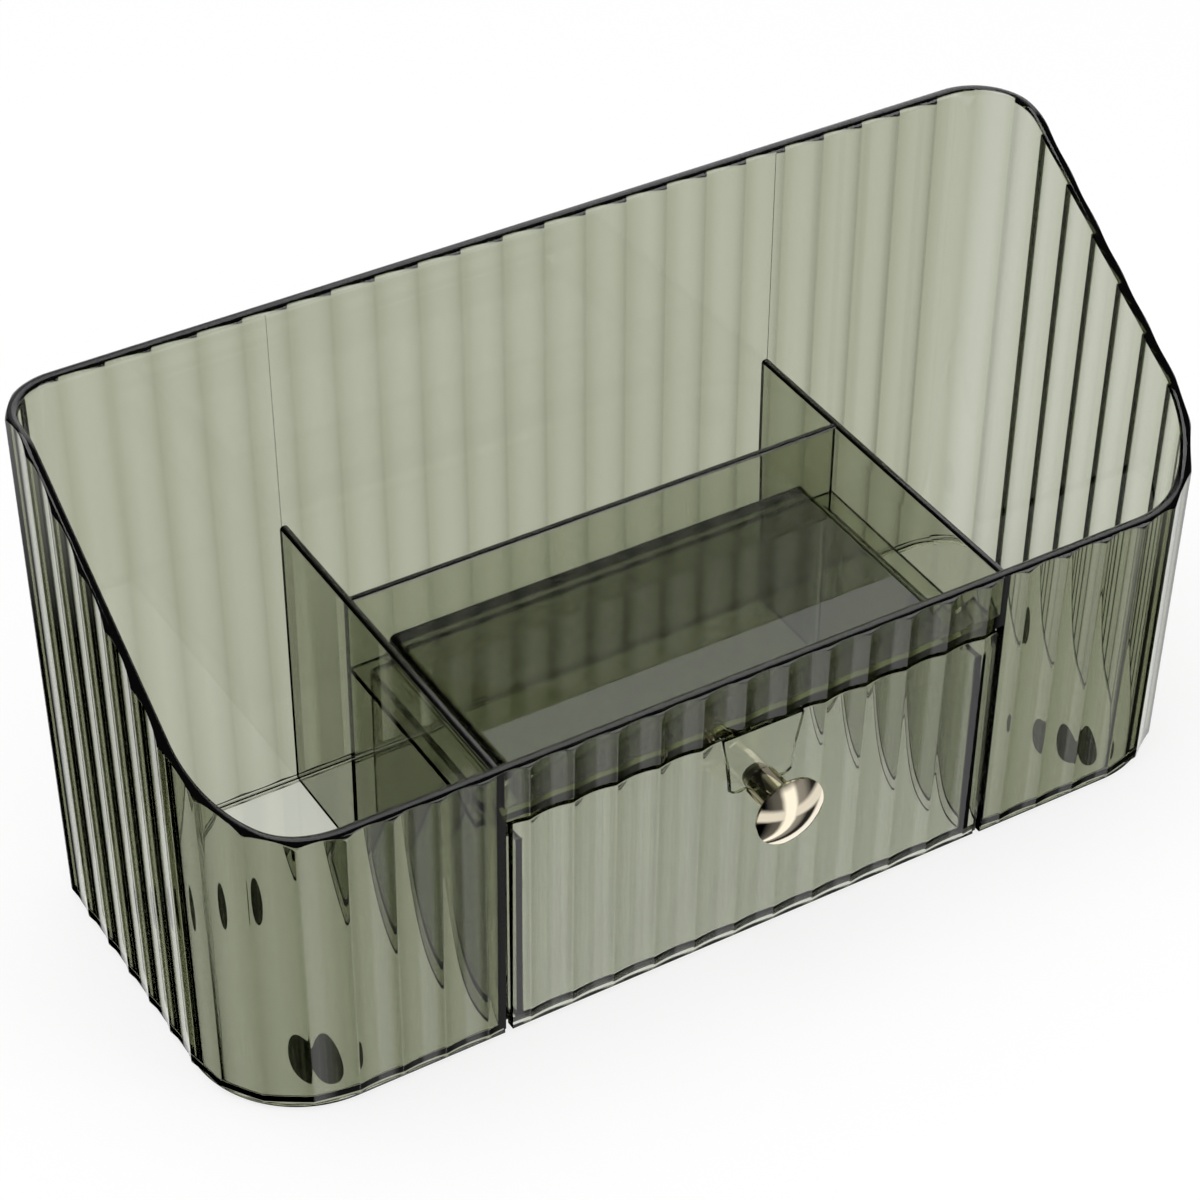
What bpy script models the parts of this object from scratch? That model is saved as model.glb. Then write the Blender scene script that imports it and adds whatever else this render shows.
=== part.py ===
"""Desktop cosmetic organiser in clear smoke plastic, with fluted walls and one drawer."""

import math

import bmesh
import bpy

# Units: metres, +Z up, front towards -Y. The sizes below are worked out about the middle of the
# case; one empty then moves the whole so that the origin is under the middle of its overall box.
MM = 0.001

# Case outline over the ridge tips, at its foot
CASE_WIDTH = 280 * MM
CASE_DEPTH = 111 * MM
FRONT_CORNER_RADIUS = 30 * MM
BACK_CORNER_RADIUS = 16 * MM
BACK_HEIGHT = 147.4 * MM
FRONT_HEIGHT = 85.7 * MM
RIM_SLOPE_FRONT_Y = -52 * MM
RIM_SLOPE_BACK_Y = 36.5 * MM
DRAFT_PER_HEIGHT = 0.0143
WALL = 4.2 * MM
SIDE_WALL = 3 * MM

# Flutes
FLUTE_COUNT = 64
FLUTE_DEPTH = 0.88 * MM
FLUTE_STEPS = 8
FLUTE_START = 2.5 * MM
BAND_INSET = 1.25 * MM
CORNER_STEPS = 10

# Floor and what it stands on
RIM_FOOT = 0.5 * MM
FLOOR_UNDER = 1.3 * MM
FLOOR = 1.5 * MM
PAD_WIDTH = 11.5 * MM
PAD_LENGTH = 17 * MM
PAD_SIDE_INSET = 25 * MM
PAD_FRONT_CLEARANCE = 4.5 * MM
PAD_SPACING = 60 * MM

# Inner walls
DIVIDER_TOP = 84.3 * MM
DIVIDER_X = 70.84 * MM
DIVIDER = 2.3 * MM
CROSS_Y = 19 * MM
CROSS_WALL = 2.2 * MM

# Stepped shelf over the drawer
SHELF = 2 * MM
LEDGE_TOP = 64 * MM
PLATFORM_TOP = 69.3 * MM
PLATFORM_HALF_WIDTH = 60.5 * MM
LINTEL_DEPTH = 2 * MM
LINTEL_RISE = 0.4 * MM

# Drawer
OPENING_HALF_WIDTH = 70.3 * MM
OPENING_TOP = 69.8 * MM
FACE_SIDE_GAP = 1.9 * MM
FACE_TOP_GAP = 1.8 * MM
FACE = 4.1 * MM
LIP_INSET = 0.3 * MM
BODY_HALF_WIDTH = 66.3 * MM
BODY_TOP_GAP = 1 * MM
BODY_BACK_GAP = 1 * MM
DRAWER_WALL = 1.8 * MM
DRAWER_FLOOR = 1.6 * MM

# Knob, turned, and its screw
KNOB_HEIGHT = 50.9 * MM
KNOB_DIAMETER = 19 * MM
KNOB_PROJECTION = 15.4 * MM
KNOB_RIM = 0.9 * MM
KNOB_DOME = 3 * MM
KNOB_FLARE = 1.2 * MM
STEM_DIAMETER = 9 * MM
SCREW_DIAMETER = 3.8 * MM
SCREW_REACH = 7 * MM
SCREW_HEAD_DIAMETER = 7 * MM
SCREW_HEAD = 2 * MM

# Fits
GAP = 0.3 * MM
OVERRUN = 2 * MM
MERGE = 0.001 * MM
ROUND_STEPS = 32
DOME_STEPS = 6

# Derived places
FLOOR_TOP = FLOOR_UNDER + FLOOR
DIVIDER_INNER_X = DIVIDER_X - DIVIDER / 2
INNER_HALF_WIDTH = CASE_WIDTH / 2 - SIDE_WALL
INNER_HALF_DEPTH = CASE_DEPTH / 2 - WALL
CROSS_FRONT_Y = CROSS_Y - CROSS_WALL / 2
FACE_HALF_WIDTH = OPENING_HALF_WIDTH - FACE_SIDE_GAP
FACE_TOP = OPENING_TOP - FACE_TOP_GAP
FACE_BOTTOM = RIM_FOOT + GAP
FACE_INNER_Y = -CASE_DEPTH / 2 + FACE
BODY_TOP = LEDGE_TOP - SHELF - BODY_TOP_GAP
BODY_BACK_Y = CROSS_FRONT_Y - BODY_BACK_GAP
BODY_BOTTOM = FLOOR_TOP + GAP


def collection(name):
    group = bpy.data.collections.new(name)
    bpy.context.scene.collection.children.link(group)
    return group


def material(name, colour, roughness, metallic=0.0, alpha=1.0):
    result = bpy.data.materials.new(name)
    result.use_nodes = True
    shader = result.node_tree.nodes["Principled BSDF"]
    shader.inputs["Base Color"].default_value = (*colour, 1)
    shader.inputs["Roughness"].default_value = roughness
    shader.inputs["Metallic"].default_value = metallic
    shader.inputs["Alpha"].default_value = alpha
    return result


def put(obj, group, carrier, finish=None):
    """Move an object into one of the two collections, on its carrier, with its material."""
    for old in obj.users_collection:
        old.objects.unlink(obj)
    group.objects.link(obj)
    obj.parent = carrier
    if carrier.parent:
        obj.location -= carrier.location
    if finish:
        obj.data.materials.clear()
        obj.data.materials.append(finish)
    else:
        obj.hide_render = True
        obj.display_type = "WIRE"
    return obj


def combine(obj, other, operation):
    step = obj.modifiers.new(other.name, "BOOLEAN")
    step.operation = operation
    step.solver = "EXACT"
    step.object = other


def outline_point(s, half_width, half_depth, front_radius, back_radius):
    """Point and outward normal of the rounded outline, s along it from the front centre."""
    front = half_width - front_radius
    back = half_width - back_radius
    side = 2 * half_depth - front_radius - back_radius
    front_arc = math.pi / 2 * front_radius
    back_arc = math.pi / 2 * back_radius
    half_length = front + front_arc + side + back_arc + back
    s = (s + half_length) % (2 * half_length) - half_length
    mirror = -1 if s < 0 else 1
    s = abs(s)
    if s <= front:
        x, y, angle = s, -half_depth, -math.pi / 2
    elif s <= front + front_arc:
        angle = -math.pi / 2 + (s - front) / front_radius
        x = front + front_radius * math.cos(angle)
        y = -half_depth + front_radius + front_radius * math.sin(angle)
    elif s <= front + front_arc + side:
        angle = 0
        x = half_width
        y = -half_depth + front_radius + s - front - front_arc
    elif s <= half_length - back:
        angle = (s - front - front_arc - side) / back_radius
        x = back + back_radius * math.cos(angle)
        y = half_depth - back_radius + back_radius * math.sin(angle)
    else:
        x, y, angle = half_length - s, half_depth, math.pi / 2
    return mirror * x, y, mirror * math.cos(angle), math.sin(angle)


def outline_length(half_width, half_depth, front_radius, back_radius):
    arcs = math.pi * (front_radius + back_radius)
    return 4 * half_width + 4 * half_depth - 4 * (front_radius + back_radius) + arcs


def fluted_outline():
    """Evenly spaced hollow flutes between sharp ridges; one flute is centred on the front."""
    shape = CASE_WIDTH / 2, CASE_DEPTH / 2, FRONT_CORNER_RADIUS, BACK_CORNER_RADIUS
    pitch = outline_length(*shape) / FLUTE_COUNT
    points = []
    for step in range(FLUTE_COUNT * FLUTE_STEPS):
        share = step % FLUTE_STEPS / FLUTE_STEPS
        x, y, nx, ny = outline_point((step / FLUTE_STEPS - 1 / 2) * pitch, *shape)
        depth = FLUTE_DEPTH * (1 - (2 * share - 1) ** 2)
        points.append((x - nx * depth, y - ny * depth))
    return points


def arc(centre_x, centre_y, radius, start):
    points = []
    for step in range(CORNER_STEPS + 1):
        angle = start + math.pi / 2 * step / CORNER_STEPS
        points.append((centre_x + radius * math.cos(angle), centre_y + radius * math.sin(angle)))
    return points


def smooth_outline(side_inset, inset):
    """The case's rounded outline without flutes, moved inwards at the sides and front to back."""
    x = CASE_WIDTH / 2 - side_inset
    y = CASE_DEPTH / 2 - inset
    front = FRONT_CORNER_RADIUS - inset
    back = BACK_CORNER_RADIUS - inset
    points = arc(x - front, front - y, front, -math.pi / 2)
    points += arc(x - back, y - back, back, 0)
    points += arc(back - x, y - back, back, math.pi / 2)
    points += arc(front - x, front - y, front, math.pi)
    return points


def extruded(name, points, low, high):
    """A flat outline given thickness, as a closed mesh standing on Z."""
    data = bpy.data.curves.new(name, "CURVE")
    data.dimensions = "2D"
    data.fill_mode = "BOTH"
    data.extrude = (high - low) / 2
    spline = data.splines.new("POLY")
    spline.points.add(len(points) - 1)
    for target, (x, y) in zip(spline.points, points):
        target.co = (x, y, 0, 1)
    spline.use_cyclic_u = True
    guide = bpy.data.objects.new(name, data)
    bpy.context.scene.collection.objects.link(guide)
    depsgraph = bpy.context.evaluated_depsgraph_get()
    mesh = bpy.data.meshes.new_from_object(guide.evaluated_get(depsgraph))
    bpy.data.objects.remove(guide)
    work = bmesh.new()
    work.from_mesh(mesh)
    bmesh.ops.remove_doubles(work, verts=work.verts, dist=MERGE)
    for side in (-1, 1):
        end = [face for face in work.faces if all(v.co.z * side > 0 for v in face.verts)]
        bmesh.ops.dissolve_faces(work, faces=end)
    bmesh.ops.translate(work, verts=work.verts, vec=(0, 0, (low + high) / 2))
    bmesh.ops.recalc_face_normals(work, faces=work.faces)
    work.to_mesh(mesh)
    work.free()
    obj = bpy.data.objects.new(name, mesh)
    bpy.context.scene.collection.objects.link(obj)
    return obj


def drafted(obj, half_width, half_depth):
    """Lean an extruded wall outwards by the mould's draft, the same on all sides."""
    low = min(vertex.co.z for vertex in obj.data.vertices)
    for vertex in obj.data.vertices:
        lean = DRAFT_PER_HEIGHT * (vertex.co.z - low)
        vertex.co.x *= 1 + lean / half_width
        vertex.co.y *= 1 + lean / half_depth
    return obj


def block(name, low, high):
    centre = [(a + b) / 2 for a, b in zip(low, high)]
    bpy.ops.mesh.primitive_cube_add(size=1, location=centre)
    obj = bpy.context.active_object
    obj.name = name
    obj.scale = [b - a for a, b in zip(low, high)]
    bpy.ops.object.transform_apply(location=False, rotation=False, scale=True)
    return obj


def turned(name, profile, location):
    """A profile of (radius, distance along -Y) pairs spun round the knob's axis."""
    mesh = bpy.data.meshes.new(name)
    edges = [(index, index + 1) for index in range(len(profile) - 1)]
    mesh.from_pydata([(radius, 0, along) for radius, along in profile], edges, [])
    obj = bpy.data.objects.new(name, mesh)
    bpy.context.scene.collection.objects.link(obj)
    spin = obj.modifiers.new("Turned", "SCREW")
    spin.axis = "Z"
    spin.steps = ROUND_STEPS
    spin.render_steps = ROUND_STEPS
    spin.use_merge_vertices = True
    spin.merge_threshold = MERGE
    spin.use_smooth_shade = True
    obj.rotation_euler = (math.pi / 2, 0, 0)
    obj.location = location
    return obj


def outer_solid(name):
    """The fluted, drafted outside of the case as a solid."""
    solid = extruded(name, fluted_outline(), FLUTE_START, BACK_HEIGHT)
    return drafted(solid, CASE_WIDTH / 2, CASE_DEPTH / 2)


def make_shelf(group, carrier):
    """Raised platform between two lower ledges, drawn as its section and run front to back."""
    half = [
        (DIVIDER_X, LEDGE_TOP - SHELF),
        (DIVIDER_X, LEDGE_TOP),
        (PLATFORM_HALF_WIDTH, LEDGE_TOP),
        (PLATFORM_HALF_WIDTH, PLATFORM_TOP),
    ]
    other_half = [(-x, z) for x, z in reversed(half)]
    shelf = extruded("shelf", half + other_half, -CROSS_Y, INNER_HALF_DEPTH + WALL)
    shelf.rotation_euler = (math.pi / 2, 0, 0)
    return put(shelf, group, carrier)


def make_inner_walls(group, carrier):
    """Dividers, cross wall, shelf and lintel, trimmed together to end inside the outer wall."""
    top = DIVIDER_TOP + OVERRUN
    walls = block(
        "inner_walls",
        (-DIVIDER_X - DIVIDER / 2, -CASE_DEPTH, 0),
        (-DIVIDER_INNER_X, CASE_DEPTH, top),
    )
    right = block(
        "divider_right",
        (DIVIDER_INNER_X, -CASE_DEPTH, 0),
        (DIVIDER_X + DIVIDER / 2, CASE_DEPTH, top),
    )
    cross = block(
        "cross_wall",
        (-DIVIDER_X, CROSS_FRONT_Y, -OVERRUN),
        (DIVIDER_X, CROSS_FRONT_Y + CROSS_WALL, top + OVERRUN),
    )
    lintel = block(
        "lintel",
        (-DIVIDER_X, -CASE_DEPTH, LEDGE_TOP - SHELF / 2),
        (DIVIDER_X, -INNER_HALF_DEPTH + LINTEL_DEPTH, OPENING_TOP + LINTEL_RISE),
    )
    floor_middle = FLOOR_TOP - FLOOR / 2
    middle_outline = smooth_outline(SIDE_WALL / 2, WALL / 2)
    envelope = extruded("inner_envelope", middle_outline, floor_middle, DIVIDER_TOP)
    for piece in (walls, right, cross, lintel, envelope):
        put(piece, group, carrier)
    for piece in (right, cross, make_shelf(group, carrier), lintel):
        combine(walls, piece, "UNION")
    combine(walls, envelope, "INTERSECT")
    return walls


def make_rim_cutter():
    """What the sloping side rims and the low front rim leave off the outer wall."""
    rise_share = (BACK_HEIGHT - FRONT_HEIGHT) / (RIM_SLOPE_BACK_Y - RIM_SLOPE_FRONT_Y)
    beyond = CASE_DEPTH / 2
    rim_outline = [
        (-CASE_DEPTH, FRONT_HEIGHT),
        (RIM_SLOPE_FRONT_Y, FRONT_HEIGHT),
        (RIM_SLOPE_BACK_Y + beyond, BACK_HEIGHT + beyond * rise_share),
        (-CASE_DEPTH, BACK_HEIGHT + beyond * rise_share),
    ]
    rim = extruded("rim_slope", rim_outline, -CASE_WIDTH, CASE_WIDTH)
    rim.rotation_euler = (math.pi / 2, 0, math.pi / 2)
    return rim


def make_case(group, cutter_group, carrier, finish):
    """One moulding: outer wall, floor, inner walls and shelf."""
    outer = smooth_outline(BAND_INSET, BAND_INSET)
    inner = smooth_outline(SIDE_WALL, WALL)
    band = extruded("foot_band", outer, RIM_FOOT, FLUTE_START + OVERRUN)
    cavity = extruded("cavity", inner, FLOOR_TOP, BACK_HEIGHT + OVERRUN)
    drafted(cavity, INNER_HALF_WIDTH, INNER_HALF_DEPTH)
    recess = extruded("floor_recess", inner, RIM_FOOT - OVERRUN, FLOOR_UNDER)
    rim = make_rim_cutter()
    opening = block(
        "drawer_opening",
        (-OPENING_HALF_WIDTH, -CASE_DEPTH, RIM_FOOT - OVERRUN),
        (OPENING_HALF_WIDTH, FACE_INNER_Y + GAP, OPENING_TOP),
    )
    for piece in (band, cavity, recess, rim, opening):
        put(piece, cutter_group, carrier)
    case = put(outer_solid("case"), group, carrier, finish)
    combine(case, band, "UNION")
    combine(case, cavity, "DIFFERENCE")
    combine(case, recess, "DIFFERENCE")
    combine(case, rim, "DIFFERENCE")
    combine(case, make_inner_walls(cutter_group, carrier), "UNION")
    combine(case, opening, "DIFFERENCE")


def make_pads(group, carrier, finish):
    """Four oval anti-slip pads in the recess under the floor, longer front to back."""
    height = FLOOR_UNDER - GAP
    x = INNER_HALF_WIDTH - PAD_SIDE_INSET
    front_y = PAD_FRONT_CLEARANCE + PAD_LENGTH / 2 - INNER_HALF_DEPTH
    back_y = front_y + PAD_SPACING
    places = {
        "pad_front_left": (-x, front_y),
        "pad_front_right": (x, front_y),
        "pad_back_left": (-x, back_y),
        "pad_back_right": (x, back_y),
    }
    for name, (pad_x, pad_y) in places.items():
        bpy.ops.mesh.primitive_cylinder_add(
            vertices=ROUND_STEPS,
            radius=PAD_LENGTH / 2,
            depth=height,
            location=(pad_x, pad_y, height / 2),
        )
        pad = bpy.context.active_object
        pad.scale.x = PAD_WIDTH / PAD_LENGTH
        bpy.ops.object.transform_apply(location=False, rotation=False, scale=True)
        pad.name = name
        put(pad, group, carrier, finish)


def make_drawer(group, cutter_group, slide, finish):
    """Fluted front, flush with the case, in one moulding with its tray."""
    face = block(
        "drawer_face",
        (-FACE_HALF_WIDTH, -CASE_DEPTH, 0),
        (FACE_HALF_WIDTH, FACE_INNER_Y, FACE_TOP),
    )
    lip_x = FACE_HALF_WIDTH - LIP_INSET
    lip = block(
        "drawer_lip",
        (-lip_x, BAND_INSET - CASE_DEPTH / 2, FACE_BOTTOM),
        (lip_x, FACE_INNER_Y - LIP_INSET, FLUTE_START + OVERRUN),
    )
    tray = block(
        "drawer_tray",
        (-BODY_HALF_WIDTH, FACE_INNER_Y - FACE / 2, BODY_BOTTOM),
        (BODY_HALF_WIDTH, BODY_BACK_Y, BODY_TOP),
    )
    inside = block(
        "drawer_inside",
        (DRAWER_WALL - BODY_HALF_WIDTH, FACE_INNER_Y, BODY_BOTTOM + DRAWER_FLOOR),
        (BODY_HALF_WIDTH - DRAWER_WALL, BODY_BACK_Y - DRAWER_WALL, BODY_TOP + OVERRUN),
    )
    bpy.ops.mesh.primitive_cylinder_add(
        vertices=ROUND_STEPS,
        radius=SCREW_DIAMETER / 2 + GAP,
        depth=CASE_DEPTH,
        location=(0, -CASE_DEPTH / 2, KNOB_HEIGHT),
        rotation=(math.pi / 2, 0, 0),
    )
    hole = bpy.context.active_object
    hole.name = "screw_hole"
    for piece in (face, lip, tray, inside, hole):
        put(piece, cutter_group, slide)
    drawer = put(outer_solid("drawer"), group, slide, finish)
    combine(drawer, face, "INTERSECT")
    combine(drawer, lip, "UNION")
    combine(drawer, tray, "UNION")
    combine(drawer, inside, "DIFFERENCE")
    combine(drawer, hole, "DIFFERENCE")


def knob_base_y():
    """Where the flat end of the stem meets the flute's two shoulders."""
    shape = CASE_WIDTH / 2, CASE_DEPTH / 2, FRONT_CORNER_RADIUS, BACK_CORNER_RADIUS
    pitch = outline_length(*shape) / FLUTE_COUNT
    shoulder = FLUTE_DEPTH * (1 - (STEM_DIAMETER / pitch) ** 2)
    lean = DRAFT_PER_HEIGHT * (KNOB_HEIGHT - FLUTE_START)
    return -CASE_DEPTH / 2 - lean + shoulder - GAP


def make_knob(group, slide, finish):
    """Turned metal knob: domed disc on a plain stem, bored for its screw."""
    stem = STEM_DIAMETER / 2
    edge = KNOB_DIAMETER / 2
    bore = SCREW_DIAMETER / 2 + GAP
    bore_depth = SCREW_REACH + GAP
    disc_back = KNOB_PROJECTION - KNOB_DOME - KNOB_RIM
    profile = []
    for step in range(DOME_STEPS + 1):
        share = step / DOME_STEPS
        profile.append((edge * share, KNOB_PROJECTION - KNOB_DOME * share**2))
    profile.append((edge, disc_back))
    profile.append((stem + KNOB_FLARE, disc_back))
    profile.append((stem, disc_back - KNOB_FLARE))
    profile.append((stem, 0))
    profile.append((bore, 0))
    profile.append((bore, bore_depth))
    profile.append((0, bore_depth))
    knob = turned("knob", profile, (0, knob_base_y(), KNOB_HEIGHT))
    put(knob, group, slide, finish)


def make_screw(group, slide, finish):
    """Pan-head screw from inside the drawer, through its front into the knob."""
    shank = SCREW_DIAMETER / 2
    head = SCREW_HEAD_DIAMETER / 2
    head_y = FACE_INNER_Y + GAP
    reach = head_y - knob_base_y() + SCREW_REACH
    crown_share = 1 / 2
    profile = [
        (0, reach),
        (shank, reach),
        (shank, 0),
        (head, 0),
        (head, -SCREW_HEAD * crown_share),
        (head * crown_share, -SCREW_HEAD),
        (0, -SCREW_HEAD),
    ]
    screw = turned("knob_screw", profile, (0, head_y, KNOB_HEIGHT))
    put(screw, group, slide, finish)


def make_empties(group):
    """The carrier that centres the whole, and the drawer's runner on it."""
    front_y = knob_base_y() - KNOB_PROJECTION
    back_y = CASE_DEPTH / 2 + DRAFT_PER_HEIGHT * (BACK_HEIGHT - FLUTE_START)
    carrier = bpy.data.objects.new("organiser", None)
    carrier.location = (0, -(front_y + back_y) / 2, 0)
    slide = bpy.data.objects.new("drawer_slide", None)
    slide.location = (0, (FACE_INNER_Y + BODY_BACK_Y) / 2, BODY_BOTTOM)
    slide.parent = carrier
    for empty in (carrier, slide):
        group.objects.link(empty)
    return carrier, slide


def main():
    for obj in list(bpy.data.objects):
        bpy.data.objects.remove(obj, do_unlink=True)
    parts = collection("cosmetic_organiser")
    cutters = collection("cutters")
    smoke = material("smoke_case", (0.42, 0.46, 0.30), 0.05, alpha=0.45)
    smoke_drawer = material("smoke_drawer", (0.40, 0.45, 0.31), 0.05, alpha=0.45)
    pale_gold = material("pale_gold", (0.83, 0.76, 0.64), 0.08, metallic=1)
    steel = material("screw_steel", (0.6, 0.6, 0.58), 0.3, metallic=1)
    rubber = material("pad_rubber", (0.02, 0.02, 0.02), 0.8)

    carrier, slide = make_empties(parts)
    make_case(parts, cutters, carrier, smoke)
    make_pads(parts, carrier, rubber)
    make_drawer(parts, cutters, slide, smoke_drawer)
    make_knob(parts, slide, pale_gold)
    make_screw(parts, slide, steel)


main()
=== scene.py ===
import math

import bpy
from mathutils import Matrix, Vector


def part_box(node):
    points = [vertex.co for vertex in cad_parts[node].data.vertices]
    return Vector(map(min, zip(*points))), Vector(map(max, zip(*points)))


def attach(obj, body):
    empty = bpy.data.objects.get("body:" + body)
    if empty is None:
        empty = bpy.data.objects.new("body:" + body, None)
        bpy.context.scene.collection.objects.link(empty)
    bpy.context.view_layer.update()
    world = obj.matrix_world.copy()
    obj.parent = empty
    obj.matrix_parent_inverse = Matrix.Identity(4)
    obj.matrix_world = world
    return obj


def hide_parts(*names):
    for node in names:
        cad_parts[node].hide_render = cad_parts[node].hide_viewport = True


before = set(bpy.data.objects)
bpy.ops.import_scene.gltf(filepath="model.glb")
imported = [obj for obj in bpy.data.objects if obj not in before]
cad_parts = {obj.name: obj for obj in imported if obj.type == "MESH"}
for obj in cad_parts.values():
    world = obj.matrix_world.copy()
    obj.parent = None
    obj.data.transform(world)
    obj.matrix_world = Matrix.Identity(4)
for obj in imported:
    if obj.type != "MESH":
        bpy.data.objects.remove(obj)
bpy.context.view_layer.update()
print("frame loaded")

# Metres throughout. Pieces are made about the middle of the case, then moved onto the frame.

tiny = 0.0001  # shorter than any edge that is picked by its direction


# Working with selections in code

def deselectAll():
    bpy.ops.object.select_all(action="DESELECT")


def makeActive(piece):
    deselectAll()
    piece.select_set(True)
    bpy.context.view_layer.objects.active = piece


def inEdit(piece, mode, *steps):
    makeActive(piece)
    bpy.ops.object.mode_set(mode="EDIT")
    bpy.ops.mesh.select_mode(type=mode)
    for step in steps:
        step()
    bpy.ops.object.mode_set(mode="OBJECT")


def faceOutwards(piece):
    inEdit(
        piece,
        "FACE",
        lambda: bpy.ops.mesh.select_all(action="SELECT"),
        lambda: bpy.ops.mesh.normals_make_consistent(inside=False),
    )


def applied(piece):
    makeActive(piece)
    for modifier in list(piece.modifiers):
        bpy.ops.object.modifier_apply(modifier=modifier.name)


def joinWith(piece, other, operation):
    step = piece.modifiers.new("joined", "BOOLEAN")
    step.operation = operation
    step.solver = "EXACT"
    step.object = other
    applied(piece)
    bpy.data.objects.remove(other, do_unlink=True)


# Smooth over gentle corners; the large faces keep their own normals, so the walls stay flat

def smoothed(piece, degrees=30):
    makeActive(piece)
    bpy.ops.object.shade_smooth_by_angle(angle=math.radians(degrees))
    weighted = piece.modifiers.new("weighted", "WEIGHTED_NORMAL")
    weighted.mode = "FACE_AREA"
    weighted.weight = 100
    weighted.keep_sharp = True
    applied(piece)


# A block from corner to corner; the edges that pass the test get a round of the given radius

def block(name, low, high, rounding=0, edges=None, segments=3):
    deselectAll()
    middle = [(a + b) / 2 for a, b in zip(low, high)]
    size = [b - a for a, b in zip(low, high)]
    bpy.ops.mesh.primitive_cube_add(size=1, location=middle, scale=size)
    piece = bpy.context.active_object
    piece.name = name
    bpy.ops.object.transform_apply(location=True, rotation=True, scale=True)
    if rounding:
        mesh = piece.data
        for vertex in mesh.vertices:
            vertex.select = False
        for face in mesh.polygons:
            face.select = False
        for edge in mesh.edges:
            ends = [mesh.vertices[i].co for i in edge.vertices]
            edge.select = edges is None or edges((ends[0] + ends[1]) / 2, ends[1] - ends[0])
        inEdit(
            piece,
            "EDGE",
            lambda: bpy.ops.mesh.bevel(offset=rounding, segments=segments, affect="EDGES"),
        )
    return piece


# A closed skin over rings of points: a circle is extruded ring by ring, each set on its places

def skinOfRings(name, rings):
    deselectAll()
    count = len(rings[0])
    bpy.ops.mesh.primitive_circle_add(vertices=count, radius=1, fill_type="NOTHING")
    piece = bpy.context.active_object
    piece.name = name
    for index, ring in enumerate(rings):
        if index:
            inEdit(piece, "VERT", lambda: bpy.ops.mesh.extrude_region_move())
        for step, place in enumerate(ring):
            piece.data.vertices[index * count + step].co = place
    last = len(rings) - 1
    for end in (0, last):
        for vertex in piece.data.vertices:
            vertex.select = end * count <= vertex.index < (end + 1) * count
        for edge in piece.data.edges:
            edge.select = all(piece.data.vertices[i].select for i in edge.vertices)
        for face in piece.data.polygons:
            face.select = False
        inEdit(piece, "VERT", lambda: bpy.ops.mesh.edge_face_add())
    faceOutwards(piece)
    return piece


# Case: the fluted outline and what is placed on it

caseSettings = {
    "width": 0.280,
    "depth": 0.111,
    "frontCorner": 0.030,
    "backCorner": 0.016,
    "backHeight": 0.1474,
    "frontHeight": 0.0857,
    "slopeFrontY": -0.052,
    "slopeBackY": 0.0365,
    "slopeEase": 0.004,
    "draft": 0.0143,  # how far the walls lean out for each metre of height
    "wall": 0.0042,
    "sideWall": 0.003,
    "rimShare": 0.48,  # the rim's outer and inner rounds, as shares of the wall
    "rimSegments": 8,
    "innerShare": 0.46,
    "scallopSoft": 0.0001,
    "floorUnder": 0.0013,
    "floorTop": 0.0028,
    "floorFillet": 0.001,
    "foot": 0.0005,  # the pads hold the case this much over the table
    "footChamfer": 0.0002,
    "bandInset": 0.00125,  # the plain band under the flutes
    "dividerX": 0.07084,
    "divider": 0.0023,
    "dividerTop": 0.0843,
    "crossFrontY": 0.0179,
    "crossWall": 0.0022,
    "crossDrop": 0.0001,
    "shelf": 0.002,
    "ledgeTop": 0.064,
    "platformTop": 0.0693,  # the raised tray between the ledges
    "platformHalfWidth": 0.0605,
    "platformRound": 0.0016,
    "platformUnder": 0.0005,
    "lintelDepth": 0.0075,
    "lintelTop": 0.0722,
    "lintelUnder": 0.0005,
    "edgeRound": 0.0008,
    "openingHalfWidth": 0.0703,
    "openingTop": 0.0698,
    "openingBackY": -0.0511,
    "openingRound": 0.0003,
    "reliefBackY": -0.0455,  # the hollow under the lintel, behind the drawer's face
    "reliefUnder": 0.0004,
    "witness": (0.00022, 0.00025),  # width and depth
}
fluteSettings = {
    "count": 64,
    "depth": 0.00088,
    "start": 0.0025,
    "ridgeRound": 0.0003,
    # places across one flute, from ridge to ridge
    "shares": (0, 0.009, 0.024, 0.07, 0.15, 0.26, 0.38, 0.5, 0.62, 0.74, 0.85, 0.93, 0.976, 0.991),
}
backWallY = caseSettings["depth"] / 2 + caseSettings["draft"] * (
    caseSettings["backHeight"] - fluteSettings["start"]
)
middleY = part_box("case")[1].y - backWallY  # the case's middle in the frame


def outlinePoint(s):
    halfWidth = caseSettings["width"] / 2
    halfDepth = caseSettings["depth"] / 2
    frontRadius = caseSettings["frontCorner"]
    backRadius = caseSettings["backCorner"]
    front = halfWidth - frontRadius
    back = halfWidth - backRadius
    side = 2 * halfDepth - frontRadius - backRadius
    frontArc = math.pi / 2 * frontRadius
    backArc = math.pi / 2 * backRadius
    halfLength = front + frontArc + side + backArc + back
    s = (s + halfLength) % (2 * halfLength) - halfLength
    mirror = -1 if s < 0 else 1
    s = abs(s)
    if s <= front:
        x, y, angle = s, -halfDepth, -math.pi / 2
    elif s <= front + frontArc:
        angle = -math.pi / 2 + (s - front) / frontRadius
        x = front + frontRadius * math.cos(angle)
        y = -halfDepth + frontRadius + frontRadius * math.sin(angle)
    elif s <= front + frontArc + side:
        angle = 0
        x = halfWidth
        y = -halfDepth + frontRadius + s - front - frontArc
    elif s <= halfLength - back:
        angle = (s - front - frontArc - side) / backRadius
        x = back + backRadius * math.cos(angle)
        y = halfDepth - backRadius + backRadius * math.sin(angle)
    else:
        x, y, angle = halfLength - s, halfDepth, math.pi / 2
    return mirror * x, y, mirror * math.cos(angle), math.sin(angle)


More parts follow.
